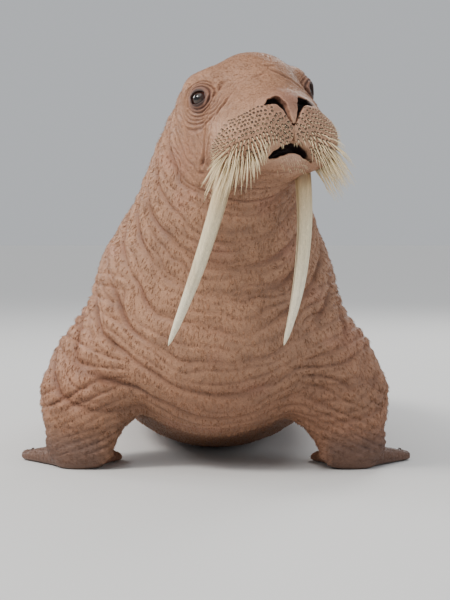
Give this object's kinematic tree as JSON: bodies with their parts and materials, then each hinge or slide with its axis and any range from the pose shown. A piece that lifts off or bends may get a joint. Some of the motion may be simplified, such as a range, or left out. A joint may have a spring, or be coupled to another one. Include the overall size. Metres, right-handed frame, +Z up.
{
  "type": "walrus",
  "caption": "Life-size adult bull walrus resting upright on its fore flippers, head raised and turned to its left, with long curved tusks and spread hind flippers.",
  "frame": {"origin": "on the ground, in the middle of the outline seen from above", "axes": "+Z up, -Y the way the chest faces, +X the animal's left"},
  "size_m": [1.2081, 3.1198, 1.2003],
  "materials": {
    "hide": "thick creased hide with short sparse fur",
    "muzzle": "soft hide of the whisker pads and nose",
    "flipper": "dark creased hide, bare on the palms",
    "ivory": "worn ivory with fine lengthwise cracks",
    "eye": "wet, dark brown"
  },
  "bodies": {
    "root": {"head": "hide", "nose": "muzzle", "whisker_pad_right": "muzzle", "whisker_pad_left": "muzzle", "lower_jaw": "muzzle", "neck": "hide", "chest": "hide", "trunk": "hide", "rump": "hide", "tail": "hide", "fore_flipper_right": "flipper", "fore_flipper_left": "flipper", "hind_flipper_right": "flipper", "hind_flipper_left": "flipper", "tusk_right": "ivory", "tusk_left": "ivory", "eye_right": "eye", "eye_left": "eye"}
  },
  "joints": []
}
